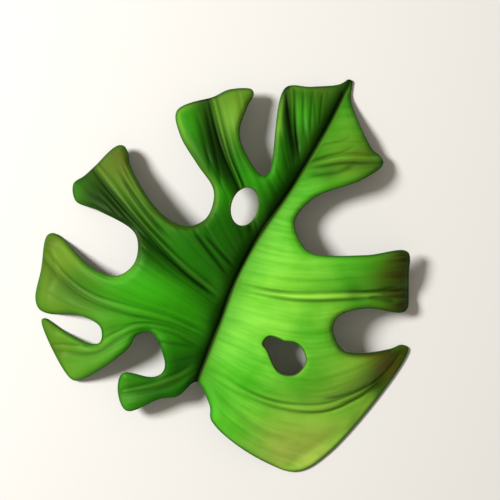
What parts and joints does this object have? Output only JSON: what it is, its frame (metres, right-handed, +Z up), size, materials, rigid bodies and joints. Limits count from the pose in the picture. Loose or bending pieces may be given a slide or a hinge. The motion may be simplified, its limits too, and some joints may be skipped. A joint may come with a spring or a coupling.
{
  "type": "monstera leaf",
  "caption": "Split and holed monstera leaf moulded from modelling clay: an arched blade folded along its midrib and lobe veins, lying on its lobe tips.",
  "frame": {"origin": "centre of the bounding box, on the surface that the lobe tips rest on", "axes": "+Y along the midrib towards the tip, +X towards the broad right half seen from above, +Z up out of the leaf's face"},
  "size_m": [0.093, 0.0976, 0.0114],
  "materials": {
    "clay": "matte to satin, coloured green with olive and brown tips"
  },
  "bodies": {
    "root": {"leaf": "clay"}
  },
  "joints": []
}
